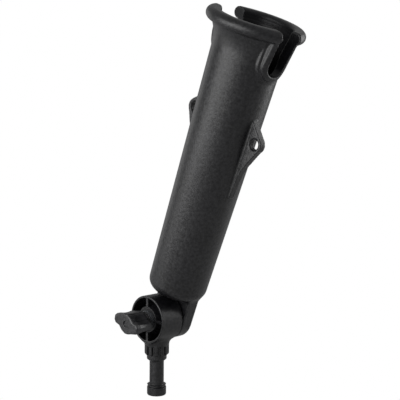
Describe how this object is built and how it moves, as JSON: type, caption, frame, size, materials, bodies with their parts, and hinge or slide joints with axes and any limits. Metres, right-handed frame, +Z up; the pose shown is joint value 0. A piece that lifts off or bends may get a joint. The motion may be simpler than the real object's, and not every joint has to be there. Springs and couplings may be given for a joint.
{
  "type": "rod holder",
  "caption": "Fishing rod holder: a tapered tube with a rolled rim, two slots and tether ears, on a lockable toothed hinge above a splined post.",
  "frame": {"origin": "on the post's axis, at the middle of the guide land of the post's tip", "axes": "+Z up along the post, +X along the hinge axis towards the arm, the tube leans towards -Y"},
  "size_m": [0.0974, 0.1608, 0.351],
  "materials": {
    "tube_nylon": "black glass-filled nylon, spark-grained mould finish",
    "post_nylon": "black glass-filled nylon, fine matte mould finish",
    "knob_nylon": "black glass-filled nylon, satin mould finish",
    "plated_steel": "zinc plated, bright",
    "spring_steel": "drawn stainless wire",
    "acetal": "natural acetal, moulded",
    "brass": "turned and knurled"
  },
  "bodies": {
    "post": {"post_body": "post_nylon", "knob_washer": "plated_steel"},
    "knob": {"wing_knob": "knob_nylon", "knob_insert": "brass"},
    "clutch": {"thrust_washer": "acetal", "release_spring": "spring_steel"},
    "tube": {"rod_tube": "tube_nylon", "hinge_bolt": "plated_steel"}
  },
  "joints": [
    {"name": "knob_turn", "type": "hinge", "parent": "post", "child": "knob", "pos_m": [0, 0, 0.0662], "axis": [1, 0, 0], "range_deg": [0, 340]},
    {"name": "tooth_release", "type": "slide", "parent": "post", "child": "clutch", "axis": [1, 0, 0], "range_m": [-0.0012, 0]},
    {"name": "tube_pitch", "type": "hinge", "parent": "clutch", "child": "tube", "pos_m": [0, 0, 0.0662], "axis": [1, 0, 0], "range_deg": [-105, 75]}
  ],
  "couplings": [
    {"joint": "knob_turn", "follows": "tooth_release", "rad_per_m": -4947.4}
  ]
}
